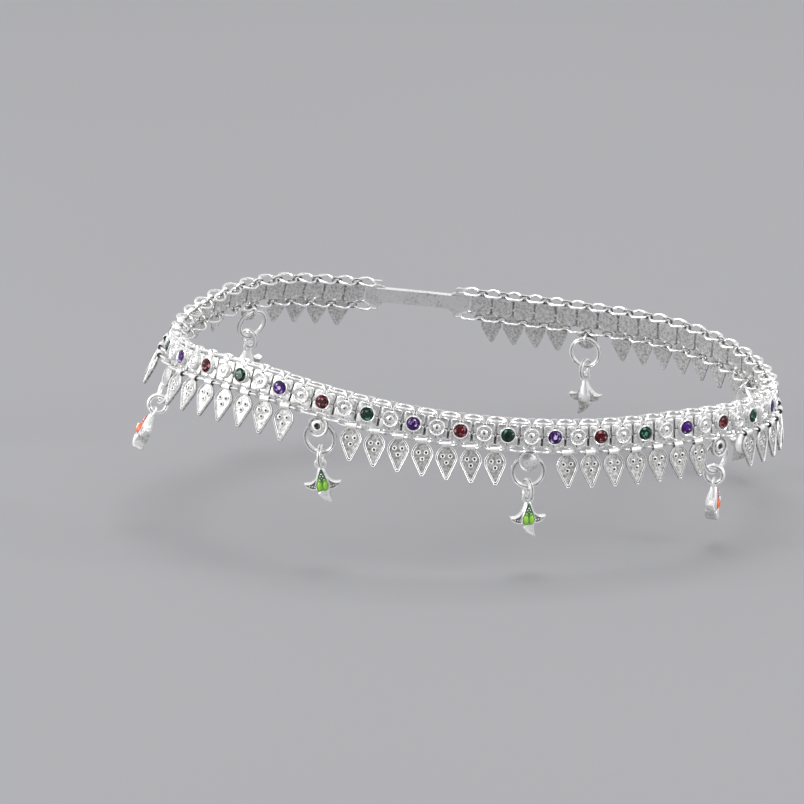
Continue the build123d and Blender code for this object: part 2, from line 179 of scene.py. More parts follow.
# ---- Charm: outlines and places are sideways, height below its loop ----
BELL_SIDES = 28
BELL_FRONT = 0.8              # the bell is flattened to this depth
BELL_PROFILE = [              # radius, height, tone; the bright values are partly a painted highlight
    (0.3, -0.6, 0.8), (0.5, -0.64, 0.9), (0.58, -0.8, 1.0), (0.72, -1.3, 1.0), (0.88, -1.8, 1.0),
    (1.06, -2.35, 1.0), (1.24, -2.9, 1.0), (1.3, -3.6, 0.9), (1.28, -4.15, 0.9), (1.02, -4.6, 0.9),
    (0.7, -4.8, 0.8), (0.4, -4.82, 0.6),
]
BELL_FIELD = [(0.14, -0.7), (0.36, -1.3), (0.6, -2.0), (0.92, -2.9), (0.98, -3.8), (0.72, -4.62)]
PETAL_EDGE = [(0.5, -1.5), (0.92, -2.2), (1.42, -2.82), (2.2, -3.22), (3.02, -3.12)]
PETAL_UNDER = [(2.6, -3.88), (1.9, -4.28), (1.1, -4.35), (0.4, -4.3)]
PETAL_FIELD = [(0.8, -2.5), (1.14, -2.82), (1.62, -3.22), (2.24, -3.5), (2.68, -3.42)]
PETAL_FIELD_UNDER = [(2.36, -3.76), (1.8, -4.06), (1.2, -4.1), (0.7, -4.0)]
PETAL_GRAINS = [(1.15, -3.45), (1.3, -3.85), (1.75, -3.72), (2.2, -3.68)]
PETAL_GRAIN = 0.16            # radius
BELL_GRAINS = [(0, -1.55), (-0.22, -1.9), (0.22, -1.9), (0, -2.2), (-0.34, -2.5), (0.34, -2.5)]
BELL_GRAIN = 0.15             # radius
RIM_LAYERS = [                # line round the enamel: widening of its field's outline, front, tone; bright crest as a painted highlight, dark foot as painted shade
    (1.18, -0.1, 0.4), (1.14, 0.07, 1.0), (1.02, 0.09, 1.0), (0.97, -0.1, 0.2),
]
RIM_SHIFT = 0.05              # the wider of these outlines lie a trace lower
HEART_TOP = -2.0              # the enamel turns light below here
HEART_FADE = 0.8              # and is fully light this much lower
HEART_LOBE = (0.4, 0.78)      # half width, half height
HEART_SIDE = 0.46
HEART_HEIGHT = -3.55
ENAMEL_MIDDLE = (0, -2.9)     # its outlines shrink towards here
TONGUE_MIDDLE = (0.25, -4.9)  # and the tongue's towards here
TONGUE_LEFT = [(0.42, -3.5), (0.1, -4.2), (-0.86, -4.8), (-0.62, -5.35), (-0.1, -6.0), (1.1, -6.68)]
TONGUE_RIGHT = [(1.3, -6.55), (1.1, -5.9), (0.98, -5.2), (1.04, -4.4), (0.8, -3.7)]


# ------------------------------------------------------------------ places

def loop_point(turn):
    """A point of the band's middle line, turn in radians from the heel."""
    x = LOOP_HALF_LENGTH * math.cos(turn)
    y = LOOP_HALF_WIDTH * math.sin(turn)
    share = x / LOOP_HALF_LENGTH
    past_dip = max(0.0, (abs(share) - DIP_START) / (1 - DIP_START))
    dip = INSTEP_DIP if x < 0 else HEEL_DIP
    tilt = math.tan(math.radians(LOOP_TILT))
    return Vector((x, y, -tilt * x + END_RISE * share ** 2 - dip * past_dip ** 2))


def measure_loop():
    """Lengths along the loop from its foremost point, one for each small step."""
    lengths = [0.0]
    here = loop_point(FRONT_TURN)
    for step in range(1, PATH_STEPS + 1):
        there = loop_point(FRONT_TURN + 2 * math.pi * step / PATH_STEPS)
        lengths.append(lengths[-1] + (there - here).length)
        here = there
    return lengths


LENGTHS = measure_loop()
PITCH = LENGTHS[-1] / STATIONS


def turn_at(length):
    """The turn at which a length along the loop is reached."""
    length %= LENGTHS[-1]
    low, high = 0, PATH_STEPS
    while high - low > 1:
        middle = (low + high) // 2
        if LENGTHS[middle] <= length:
            low = middle
        else:
            high = middle
    share = (length - LENGTHS[low]) / (LENGTHS[high] - LENGTHS[low])
    return FRONT_TURN + 2 * math.pi * (low + share) / PATH_STEPS


def toward_instep(x):
    """0 at the heel, 1 at the instep."""
    return (1 - x / LOOP_HALF_LENGTH) / 2


def frame_at(station):
    """Middle point, direction along the band, and horizontal outward direction."""
    turn = turn_at(FRONT_OFFSET + (station - FRONT_LINK) * PITCH)
    along = (loop_point(turn + TURN_STEP) - loop_point(turn - TURN_STEP)).normalized()
    outward = Vector((along.y, -along.x, 0)).normalized()
    return loop_point(turn), along, outward


def placement(origin, along, up):
    """Matrix of a local frame: x along the band, y inward, z up."""
    inward = up.cross(along)
    rows = [(along[k], inward[k], up[k], origin[k]) for k in range(3)]
    return Matrix(rows + [(0, 0, 0, 1)])


def square_to(along, direction):
    """The direction's part that is square to along, as a unit vector."""
    return (direction - along * direction.dot(along)).normalized()


def link_matrix(station):
    """Frame of a link, leaning against the leg."""
    centre, along, outward = frame_at(station)
    heel, instep = BAND_LEAN
    lean = heel + (instep - heel) * toward_instep(centre.x) ** 3
    up = square_to(along, Vector((0, 0, 1)) - outward * lean)
    return placement(centre, along, up)


def column(matrix, index):
    """One axis of a frame: 0 along the band, 1 inward, 2 up."""
    return matrix.col[index].to_3d()


def jump_ring_matrix(station, level):
    """Frame and radius of the jump ring between a link and the next one."""
    here = link_matrix(station)
    there = link_matrix(station + 1)
    start = here.translation + column(here, 2) * level
    end = there.translation + column(there, 2) * level
    along = (end - start).normalized()
    up = square_to(along, column(here, 2) + column(there, 2))
    return placement((start + end) / 2, along, up), (end - start).length / 2 - WIRE_OFFSET


def leaf_matrix(station):
    """Frame of the leaf on the lower ring right of a link, at the wire's front."""
    ring_frame, radius = jump_ring_matrix(station, RING_BOTTOM)
    outward = -column(ring_frame, 1)
    wire = ring_frame.translation + outward * radius
    level = Vector((outward.x, outward.y, 0)).normalized()
    heel, instep = LEAF_LEAN
    lean = heel + (instep - heel) * toward_instep(wire.x)
    down = (level * lean - Vector((0, 0, 1))).normalized()
    return placement(wire, square_to(down, column(ring_frame, 0)), -down)


def drop_matrix(station):
    """Frame of a hanging drop: origin in the head's eye, z up the drop."""
    carrier = link_matrix(station)
    _, along, outward = frame_at(station)
    origin = carrier @ Vector((0, HEAD_EYE_BACK, HEAD_EYE_HEIGHT))
    share = -carrier.translation.x / LOOP_HALF_LENGTH
    lying = max(0.0, (share - DROP_LEAN_START) / (1 - DROP_LEAN_START))
    down = (outward * DROP_LEAN_INSTEP * lying - Vector((0, 0, 1))).normalized()
    return placement(origin, square_to(down, along), -down)


# ------------------------------------------------------------------ shapes

class Form:
    """Points with a brightness each, on silver partly painted shade and painted highlight, and faces
    with a tone each.
    """

    def __init__(self):
        self.points = []
        self.tone_and_painted_light = []
        self.faces = []
        self.tones = []

    def point(self, x, y, z, tone_and_painted_light):
        """Adds a point and gives back its number."""
        self.points.append(Vector((x, y, z)))
        self.tone_and_painted_light.append(tone_and_painted_light)
        return len(self.points) - 1

    def face(self, corners, tone=0.5):
        """Adds a face from the numbers of its corners."""
        self.faces.append(tuple(corners))
        self.tones.append(tone)

    def add(self, other, matrix=None):
        """Takes in a copy of another form, moved by a matrix."""
        start = len(self.points)
        for point, tone_and_painted_light in zip(other.points, other.tone_and_painted_light):
            self.points.append(matrix @ point if matrix else point.copy())
            self.tone_and_painted_light.append(tone_and_painted_light)
        for corners, tone in zip(other.faces, other.tones):
            self.face([start + c for c in corners], tone)
        return self

    def loops(self, rings, closed=False):
        """Skins rows of points, each a closed ring. Closed, the last row joins the first."""
        count = len(rings[0])
        pairs = list(zip(rings, rings[1:]))
        if closed:
            pairs.append((rings[-1], rings[0]))
        for low, high in pairs:
            for k in range(count):
                n = (k + 1) % count
                self.face((low[k], low[n], high[n], high[k]))

    def cap(self, ring, flip=False):
        """Closes a ring of points with one face."""
        self.face(list(reversed(ring)) if flip else list(ring))

    def tube(self, rings):
        """Skins rows of points and caps both ends."""
        self.loops(rings)
        self.cap(rings[0], flip=True)
        self.cap(rings[-1])


def moved(x=0.0, y=0.0, z=0.0):
    """Matrix that only shifts."""
    return Matrix.Translation((x, y, z))


def rotated(axis, angle):
    """Matrix that only turns, angle in radians."""
    return Matrix.Rotation(angle, 4, axis)


def circle(radius, sides, start=0.0):
    """Points evenly round a circle; start turns them by that share of a step."""
    angles = [2 * math.pi * (k + start) / sides for k in range(sides)]
    return [(radius * math.cos(angle), radius * math.sin(angle)) for angle in angles]


def stacked(layers, closed=False):
    """A plate skinned over a stack of outlines. layers rows: outline, front, tone.

    Closed, it has no caps: the last outline joins the first one and leaves a hole.
    """
    form = Form()
    rings = []
    for outline, front, tone_and_painted_light in layers:
        rings.append([form.point(x, -front, z, tone_and_painted_light) for x, z in outline])
    if closed:
        form.loops(rings, closed=True)
    else:
        form.tube(rings)
    return form


def lathe(profile, sides):
    """Turned form round the -y axis. profile rows: radius, front, tone."""
    return stacked([(circle(radius, sides), front, tone_and_painted_light) for radius, front, tone_and_painted_light in profile])


def torus(radius, wire, sides, wire_sides, flat=0.9, groove=1.0, shine=1.0):
    """Wire ring lying in the x-y plane.

    flat is the tone along its two flat sides and shine is that of the rest; both are
    painted, the darker lines a painted reflection and the brighter rest a painted highlight.
    A groove under 1 sinks a line along the flat sides and along the outside, down to that
    share of the wire's radius, and that line takes the flat tone too.
    """
    form = Form()
    rings = []
    for k in range(sides):
        angle = 2 * math.pi * k / sides
        row = []
        for w in range(wire_sides):
            turn = -2 * math.pi * w / wire_sides
            on_flat = abs(math.cos(turn)) < FLAT_COSINE
            on_line = groove < 1 and (on_flat or w == 0)
            depth = wire * groove if on_line else wire
            reach = radius + depth * math.cos(turn)
            tone_and_painted_light = flat if on_flat or on_line else shine
            height = depth * math.sin(turn)
            row.append(form.point(reach * math.cos(angle), reach * math.sin(angle), height, tone_and_painted_light))
        rings.append(row)
    form.loops(rings, closed=True)
    return form


def scaled(outline, centre, scale):
    """An outline scaled about a centre."""
    middle_x, middle_z = centre
    return [(middle_x + (x - middle_x) * scale, middle_z + (z - middle_z) * scale) for x, z in outline]


def layered(outline, layers, centre):
    """A plate of scaled copies of one outline. layers rows: scale, front, tone."""
    return stacked([(scaled(outline, centre, scale), front, tone_and_painted_light) for scale, front, tone_and_painted_light in layers])


def superellipse(half_width, half_height, power, sides, x=0.0, z=0.0):
    """Counter-clockwise rounded box outline."""
    outline = []
    for k in range(sides):
        angle = 2 * math.pi * (k + 0.5) / sides
        c, s = math.cos(angle), math.sin(angle)
        outline.append((
            x + half_width * math.copysign(abs(c) ** (2 / power), c),
            z + half_height * math.copysign(abs(s) ** (2 / power), s),
        ))
    return outline


def between(first, second, share):
    """An outline part of the way from one to another with as many points."""
    return [(a + (c - a) * share, b + (d - b) * share) for (a, b), (c, d) in zip(first, second)]


def curve_strip(points, steps):
    """Points along a Catmull-Rom curve through the given ones."""
    result = []
    padded = [points[0]] + points + [points[-1]]
    for k in range(len(points) - 1):
        a, b, c, d = (Vector(p) for p in padded[k:k + 4])
        for step in range(steps):
            t = step / steps
            bend = 2 * a - 5 * b + 4 * c - d
            twist = 3 * b - a - 3 * c + d
            result.append(tuple(0.5 * (2 * b + (c - a) * t + bend * t ** 2 + twist * t ** 3)))
    result.append(points[-1])
    return result


def mirrored(side):
    """A whole outline from its right half, which runs from the top down."""
    return side[::-1] + [(-x, z) for x, z in side]


def rounded(radius, base, rise, low, high, count, lowest_tone):
    """Profile rows up a dome, at even angles from low to high in degrees.

    The tone grows from the lowest given tone by a half towards the top, a painted highlight on the
    crown.
    """
    rows = []
    for step in range(count):
        angle = math.radians(low + (high - low) * step / (count - 1))
        height = base + rise * math.sin(angle)
        rows.append((radius * math.cos(angle), height, min(1.0, lowest_tone + 0.5 * math.sin(angle))))
    return rows


def granule(radius, front, base, sides, x=0.0, z=0.0):
    """Small ball of metal melted onto a face, with painted shade at its foot and a painted highlight on
    its crown.
    """
    foot = [(radius, base - 0.1, 0.2)]
    skin = rounded(radius, base, front - base, low=8, high=82, count=4, lowest_tone=0.5)
    return Form().add(lathe(foot + skin, sides), moved(x, 0, z))


# ------------------------------------------------------------------ link

def lobe(x, z):
    """One pillow of the plate."""
    outline = superellipse(*LOBE_HALF, power=4.5, sides=28, x=x, z=z)
    # Dark foot and bright shoulders: painted shade and painted highlight.
    return layered(outline, [
        (1.0, -0.05, 0.2),
        (1.0, 0.2, 0.45),
        (0.97, 0.34, 0.85),
        (0.9, 0.43, 0.95),
        (0.74, LOBE_FRONT - 0.03, 0.7),
        (0.4, LOBE_FRONT, 0.68),
    ], (x, z))


def eye(level):
    """Eye above or below the plate: a flat loop that the jump rings cross."""
    outer = superellipse(*EYE_HALF, power=3.0, sides=24, z=level)
    inner = superellipse(*EYE_BORE_HALF, power=3.0, sides=24, x=EYE_BORE_SHIFT, z=level)
    # Bright front and dark bore: painted highlight and painted shade.
    return stacked([
        (outer, -PLATE_BACK, 0.3), (outer, PLATE_FRONT - 0.08, 0.8), (outer, PLATE_FRONT, 1.0),
        (inner, PLATE_FRONT, 0.9), (inner, PLATE_FRONT - 0.1, 0.5), (inner, -PLATE_BACK, 0.2),
    ], closed=True)


def plate():
    """Base sheet, four lobes, two eyes and the prongs over the upper one."""
    middle = (PLATE_TOP + PLATE_BOTTOM) / 2
    half_height = (PLATE_TOP - PLATE_BOTTOM) / 2
    base = superellipse(PLATE_WIDTH / 2, half_height, power=5.0, sides=32, z=middle)
    # The side walls of the base are painted dark: painted shade in the gaps between the links.
    form = layered(base, [
        (0.97, -PLATE_BACK, 0.6),
        (1.0, -PLATE_BACK + 0.05, 0.5),
        (1.0, PLATE_FRONT - 0.1, 0.2),
        (0.97, PLATE_FRONT - 0.04, 0.4),
    ], (0, middle))
    lobe_side, lobe_up = LOBE_PLACE
    for side in (-1, 1):
        for half in (-1, 1):
            form.add(lobe(side * lobe_side, middle + half * lobe_up))
    for level in (RING_TOP, RING_BOTTOM):
        form.add(eye(level))
    for side in (-1, 1):
        lean = rotated("Y", math.radians(side * PRONG_LEAN))
        form.add(prong(), moved(side * PRONG_SPREAD, 0, RING_TOP - PRONG_DROP) @ lean)
    return form


def prong():
    """Long bead folded over the jump ring above a cup; two of them make a V."""
    outline = superellipse(*PRONG_HALF, power=2.6, sides=16)
    # The tones above 1 on the crest are a painted highlight.
    layers = [(1.0, 0.0, 0.2), (1.0, 0.4, 0.8), (0.86, 0.62, 1.2), (0.5, 0.74, 1.3)]
    return layered(outline, layers, (0, 0))


def bezel(inside):
    """Round cup with a rolled rim, painted bright as a highlight; inside gives the profile's rows
    within the rim.
    """
    return lathe([
        (CUP_RADIUS + 0.06, 0.1, 0.2),
        (CUP_RADIUS + 0.04, 0.5, 0.5),
        (CUP_RADIUS, 0.62, 0.9),
        (CUP_RADIUS - 0.04, 0.7, 0.5),
        (CUP_RADIUS - 0.02, 0.8, 0.8),
        (CUP_RADIUS, 1.0, 1.0),
        (CUP_RADIUS - 0.03, 1.15, 1.0),
        (CUP_RADIUS - 0.11, CUP_FRONT, 1.0),
        (CUP_RADIUS - 0.2, 1.2, 1.0),
    ] + inside, sides=32)


def stone_cup():
    """Bezel round a hollow for a stone, painted dark inside as shade."""
    return bezel([
        (STONE_RADIUS + 0.02, 1.08, 0.7),
        (STONE_RADIUS - 0.05, 0.95, 0.1),
        (0.4, 0.6, 0.1),
    ])


def dome_cup():
    """Bezel closed by a small dome in a ring of fine grains."""
    form = bezel([
        (CUP_RADIUS - 0.26, 1.08, 0.9),
        (CUP_RADIUS - 0.31, 0.98, 0.6),
        (0.5, 0.92, 0.6),
    ])
    foot = [(DOME_RADIUS, DOME_BASE, 0.3)]
    skin = rounded(DOME_RADIUS, DOME_BASE, DOME_RISE, low=5, high=77, count=6, lowest_tone=0.6)
    form.add(lathe(foot + skin + DIMPLE, sides=24))
    for k in range(DOME_GRAINS):
        spin = rotated("Y", 2 * math.pi * k / DOME_GRAINS)
        grain = granule(DOME_GRAIN, front=1.08, base=0.9, sides=7)
        form.add(grain, spin @ moved(DOME_GRAIN_CIRCLE))
    return form


def head(dimpled):
    """Round head on a short neck, satin or sunk round a dimple whose dark middle is a painted
    reflection, with an eye behind it.
    """
    neck_height = HEAD_TOP - HEAD_NECK_DROP
    neck = superellipse(*HEAD_NECK_HALF, power=4.0, sides=24, z=neck_height)
    form = layered(neck, [
        (0.96, -0.02, 0.3), (1.0, 0.05, 0.5), (1.0, 0.24, 0.8), (0.9, 0.32, 1.0), (0.7, 0.3, 0.6),
    ], (0, neck_height))
    profile = [
        (HEAD_RADIUS - 0.06, 0.08, 0.6),
        (HEAD_RADIUS, 0.14, 0.3),
        (HEAD_RADIUS, 0.55, 0.35),
        (HEAD_RADIUS - 0.04, 0.66, 0.8),
        (HEAD_RADIUS - 0.14, 0.76, 1.1),
        (HEAD_RADIUS - 0.36, 0.72, 0.8),
    ]
    if dimpled:
        profile += [
            (1.36, 0.6, 0.3), (1.12, 0.58, 0.5), (0.98, 0.72, 0.9), (0.84, 0.8, 1.1),
            (0.62, 0.8, 1.1), (0.52, 0.72, 0.6), (0.42, 0.56, 0.0), (0.1, 0.5, 0.0),
        ]
    else:
        profile += [
            (1.34, 0.7, 0.6), (1.2, 0.76, 0.7), (1.0, 0.82, 0.7), (0.7, 0.88, 0.75), (0.3, 0.92, 0.8),
        ]
    disc = lathe(profile, sides=40)
    for point in disc.points:
        point.z = min(point.z, HEAD_TOP - HEAD_HEIGHT)
    form.add(disc, moved(z=HEAD_HEIGHT))
    loop = torus(HEAD_EYE_RADIUS, HEAD_EYE_WIRE, sides=20, wire_sides=8)
    return form.add(loop, moved(0, HEAD_EYE_BACK, HEAD_EYE_HEIGHT) @ rotated("Y", QUARTER_TURN))


def flange(z, half_height, tone_and_painted_light):
    """Thin strip behind a stone link that closes the slits to its neighbours; its tone is painted shade
    in the slits.
    """
    outline = superellipse(FLANGE_HALF_WIDTH, half_height, power=6.0, sides=16, z=z)
    return layered(outline, [(1.0, -0.2, 0.3), (1.0, -0.06, tone_and_painted_light), (0.9, -0.05, tone_and_painted_light)], (0, z))


def link(with_stone, with_drop):
    """A whole link without its jump rings."""
    form = Form().add(plate())
    if with_stone:
        form.add(stone_cup())
        for z, half_height, tone_and_painted_light in FLANGES:
            form.add(flange(z, half_height, tone_and_painted_light))
    else:
        form.add(dome_cup())
    if with_drop:
        form.add(head(dimpled=with_stone))
    return form


def jump_rings(stations):
    """Both rings to the right of each station."""
    form = Form()
    for station in stations:
        for level in (RING_TOP, RING_BOTTOM):
            matrix, radius = jump_ring_matrix(station, level)
            ring = torus(radius, WIRE, sides=30, wire_sides=8, flat=0.5, shine=RING_SHINE[level])
            form.add(ring, matrix)
    return form


# ------------------------------------------------------------------ stone

def stone(shuffle):
    """Round cut stone. Each facet has its own painted tone, painted reflections and glints from within,
    and the table is split as if seen through.
    """
    form = Form()
    rings = []
    for share, front, shift in STONE_ROWS:
        outline = circle(STONE_RADIUS * share, STONE_SIDES, shift)
        rings.append([form.point(x, -front, z, 1.0) for x, z in outline])
    inner, table, star, girdle, foot = rings
    culet = form.point(0, -CULET_FRONT, 0, 1.0)
    form.face(inner, shuffle.random())
    for k in range(STONE_SIDES):
        n = (k + 1) % STONE_SIDES
        form.face((inner[k], table[k], table[n]), shuffle.random())
        form.face((inner[k], table[n], inner[n]), shuffle.random())
        form.face((table[n], table[k], star[k]), shuffle.random())
        form.face((table[n], star[k], girdle[n], star[n]), shuffle.random())
        form.face((star[k], girdle[k], girdle[n]), shuffle.random())
        form.face((girdle[k], foot[k], foot[n], girdle[n]), GIRDLE_TONE)
        form.face((foot[k], culet, foot[n]), BACK_TONE)
    return form


# ------------------------------------------------------------------ leaf

def boss():
    """Ring-shaped grain whose middle is painted dark, a painted reflection."""
    return lathe([
        (0.46, 0.02, 0.1), (0.43, 0.14, 0.4), (0.37, 0.23, 0.9), (0.28, 0.26, 1.0),
        (0.21, 0.21, 0.5), (0.16, 0.12, 0.0),
    ], sides=14)


def leaf():
    """Leaf with a double raised line, three ringed grains and a folded collar."""
    edge = mirrored(curve_strip(LEAF_EDGE, steps=4))
    field = mirrored(curve_strip(LEAF_FIELD, steps=4))
    # The two raised lines are painted bright and the groove between them dark: painted highlight and
    # painted shade.
    form = stacked([(between(edge, field, share), front, tone_and_painted_light) for share, front, tone_and_painted_light in (
        (0.1, -LEAF_BACK, 0.6),
        (0.0, -LEAF_BACK + 0.05, 0.3),
        (0.0, 0.12, 0.35),
        (0.06, 0.24, 1.0),
        (0.2, 0.3, 1.0),
        (0.34, 0.26, 1.0),
        (0.42, 0.14, 0.0),
        (0.54, 0.14, 0.0),
        (0.62, 0.24, 1.0),
        (0.76, 0.28, 1.0),
        (0.9, 0.22, 0.9),
        (1.0, 0.11, 0.1),
        (1.1, 0.1, 0.46),
    )])
    for x, z in LEAF_GRANULES:
        form.add(boss(), moved(x, 0, z))
    return form.add(collar())


def collar():
    """Strip folded over the ring's wire."""
    form = Form()
    rings = []
    for x, radius, tone_and_painted_light in COLLAR_ROWS:
        rings.append([form.point(x, y, z, tone_and_painted_light) for y, z in circle(radius, COLLAR_SIDES)])
    form.loops(rings, closed=True)
    return form


# ------------------------------------------------------------------ charm

def pointed(upper, lower):
    """Two smooth edges that meet in a point, where the upper one ends."""
    return curve_strip(upper, steps=4) + curve_strip(upper[-1:] + lower, steps=4)[1:]


def petal_outline(side, share):
    """Side petal curling out and up to a point, from its edge (0) to the edge of its hollow (1)."""
    edge = pointed(PETAL_EDGE, PETAL_UNDER)
    hollow = pointed(PETAL_FIELD, PETAL_FIELD_UNDER)
    outline = [(x * side, z) for x, z in between(edge, hollow, share)]
    return outline[::-1] if side > 0 else outline


def petal(side):
    """Side petal with a hollow full of grains."""
    # Bright rims, a painted highlight, round a dark hollow, partly tarnish and partly painted shade.
    form = stacked([(petal_outline(side, share), front, tone_and_painted_light) for share, front, tone_and_painted_light in (
        (0.3, -0.64, 0.4), (0.0, -0.55, 0.6), (0.0, 0.5, 0.9), (0.1, 0.62, 1.0),
        (0.55, 0.66, 1.0), (0.85, 0.56, 0.9), (1.0, 0.4, 0.1), (1.1, 0.36, 0.25),
    )])
    for x, z in PETAL_GRAINS:
        form.add(granule(PETAL_GRAIN, front=0.55, base=0.36, sides=8, x=side * x, z=z))
    return form


def tongue():
    """Lower petal, bent to one side, thick and satin."""
    outline = curve_strip(TONGUE_LEFT, steps=3) + curve_strip(TONGUE_RIGHT, steps=3)
    # Its crest carries a painted highlight.
    return layered(outline, [
        (0.94, -1.18, 0.4), (1.0, -1.1, 0.5), (1.0, 0.5, 0.6), (0.94, 0.76, 1.1), (0.8, 0.86, 1.1),
        (0.62, 0.82, 0.85), (0.3, 0.78, 0.78),
    ], TONGUE_MIDDLE)


def bell():
    """Turned heart of the lily, flattened a little in front."""
    form = Form()
    rings = []
    for radius, z, tone_and_painted_light in reversed(BELL_PROFILE):
        outline = circle(radius, BELL_SIDES)
        rings.append([form.point(x, max(-BELL_FRONT, y), z, tone_and_painted_light) for x, y in outline])
    form.tube(rings)
    return form


def bell_front(x, z):
    """How far out the bell's skin lies at a place on its front."""
    radius = BELL_PROFILE[0][0]
    for (r0, z0, _), (r1, z1, _) in zip(BELL_PROFILE, BELL_PROFILE[1:]):
        if z1 <= z <= z0:
            radius = r0 + (r1 - r0) * (z0 - z) / (z0 - z1)
    return min(BELL_FRONT, math.sqrt(max(0.0, radius ** 2 - x ** 2)))


def draped(form):
    """Lays a flat form on the bell's skin; its own depth is kept."""
    for point in form.points:
        point.y -= bell_front(point.x, point.z)
    return form


def charm():
    """Silver part of the lily charm, with a raised line round its enamel."""
    form = Form().add(bell())
    for side in (-1, 1):
        form.add(petal(side))
    form.add(tongue())
    form.add(draped(enamel_rim()))
    for x, z in BELL_GRAINS:
        form.add(draped(granule(BELL_GRAIN, front=0.2, base=0.02, sides=8, x=x, z=z)))
    loop = torus(CHARM_LOOP, CHARM_LOOP_WIRE, sides=24, wire_sides=9)
    return form.add(loop, rotated("X", QUARTER_TURN))


def enamel_rim():
    """Raised line round the enamel's field, still flat."""
    field = mirrored(curve_strip(BELL_FIELD, steps=4))
    layers = []
    for scale, front, tone_and_painted_light in RIM_LAYERS:
        outline = [(x * scale, z + RIM_SHIFT * (1 - scale)) for x, z in field]
        layers.append((outline, front, tone_and_painted_light))
    return stacked(layers, closed=True)


def enamel():
    """Glossy domed enamel, dark at the top of the bell, light in the heart."""
    form = layered(mirrored(curve_strip(BELL_FIELD, steps=4)), [
        (0.96, -0.12, 0.5), (1.0, -0.05, 0.5), (1.0, 0.0, 0.5), (0.85, 0.08, 0.5),
        (0.55, 0.15, 0.5), (0.25, 0.18, 0.5), (0.05, 0.1, 0.5),
    ], ENAMEL_MIDDLE)
    form = draped(form)
    form.tone_and_painted_light = [enamel_tone(point.x, point.z) for point in form.points]
    layers = [(1.0, 0.0, 0.5), (0.95, 0.14, 0.9), (0.75, 0.26, 1.0), (0.4, 0.34, 1.0), (0.1, 0.36, 1.0)]
    for side in (-1, 1):
        x = side * HEART_SIDE
        outline = superellipse(*HEART_LOBE, power=2.0, sides=20, x=x, z=HEART_HEIGHT)
        form.add(draped(layered(outline, layers, (x, HEART_HEIGHT))))
    return form


def enamel_tone(x, z):
    """0 in the dark top, and in the heart it grows from the middle line to both sides."""
    heart = min(1.0, max(0.0, (HEART_TOP - z) / HEART_FADE))
    return heart * min(0.6, 0.1 + 1.6 * abs(x))


# ------------------------------------------------------------------ materials

CLOUD_SCALE = 420             # noises, in cells per metre
GRAIN_SCALE = 2600
PITTING_SCALE = 4200
GEM_CLOUD_SCALE = 1400
GLAZE_CLOUD_SCALE = 900
GLAZE_SMEAR_SCALE = 2500
PAPER_SCALE = 3
PITTING_DEPTH = 0.00003       # metres
# Silver colours by tone: the dark end is tarnish and painted shade, the bright end rubbed silver and
# painted highlight.
SILVER_TONES = [
    (0.0, (0.03, 0.03, 0.03)), (0.3, (0.33, 0.325, 0.31)),
    (0.6, (0.72, 0.715, 0.7)), (0.85, (0.95, 0.95, 0.94)),
]
STONE_COLOURS = {             # deep, body and spark, the colour of painted glints; the stones come in this order
    "red": ((0.03, 0.0, 0.002), (0.11, 0.003, 0.008), (0.6, 0.24, 0.27)),
    "green": ((0.0, 0.008, 0.004), (0.002, 0.04, 0.02), (0.14, 0.4, 0.3)),
    "purple": ((0.02, 0.001, 0.06), (0.08, 0.01, 0.22), (0.75, 0.62, 0.95)),
}
GREEN_ENAMEL = ((0.0, 0.09, 0.015), (0.32, 0.72, 0.05))      # dark, light
ORANGE_ENAMEL = ((0.35, 0.01, 0.0), (0.95, 0.16, 0.02))


def node_tree(name):
    """A new material with its node tree and its shader."""
    material = bpy.data.materials.new(name)
    material.use_nodes = True
    tree = material.node_tree
    shader = tree.nodes["Principled BSDF"]
    return material, tree, shader


def add_node(tree, kind, **values):
    """A new node with its properties set."""
    node = tree.nodes.new(kind)
    for key, value in values.items():
        setattr(node, key, value)
    return node


def noise(tree, scale, detail):
    """Noise in object space, scale in cells per metre."""
    place = add_node(tree, "ShaderNodeTexCoord")
    texture = add_node(tree, "ShaderNodeTexNoise")
    texture.inputs["Scale"].default_value = scale
    texture.inputs["Detail"].default_value = detail
    tree.links.new(place.outputs["Object"], texture.inputs["Vector"])
    return texture.outputs["Fac"]


def attribute(tree, name):
    """The value that a mesh stores under a name."""
    node = add_node(tree, "ShaderNodeAttribute", attribute_name=name)
    return node.outputs["Fac"]


def mapped(tree, value, low, high):
    """A value from 0 to 1 stretched to run from low to high."""
    node = add_node(tree, "ShaderNodeMapRange")
    node.inputs["To Min"].default_value = low
    node.inputs["To Max"].default_value = high
    tree.links.new(value, node.inputs["Value"])
    return node.outputs["Result"]


def summed(tree, first, second):
    """Two values added."""
    node = add_node(tree, "ShaderNodeMath", operation="ADD")
    tree.links.new(first, node.inputs[0])
    tree.links.new(second, node.inputs[1])
    return node.outputs["Value"]


def ramp(tree, value, stops):
    """The colour for a value. stops rows: position, colour."""
    node = add_node(tree, "ShaderNodeValToRGB")
    elements = node.color_ramp.elements
    while len(elements) < len(stops):
        elements.new(0.5)
    for element, (position, colour) in zip(elements, stops):
        element.position = position
        element.color = (*colour, 1)
    tree.links.new(value, node.inputs["Fac"])
    return node.outputs["Color"]


def bump(tree, value, distance, strength):
    """A normal tilted by a height map, distance in metres."""
    node = add_node(tree, "ShaderNodeBump")
    node.inputs["Distance"].default_value = distance
    node.inputs["Strength"].default_value = strength
    tree.links.new(value, node.inputs["Height"])
    return node.outputs["Normal"]


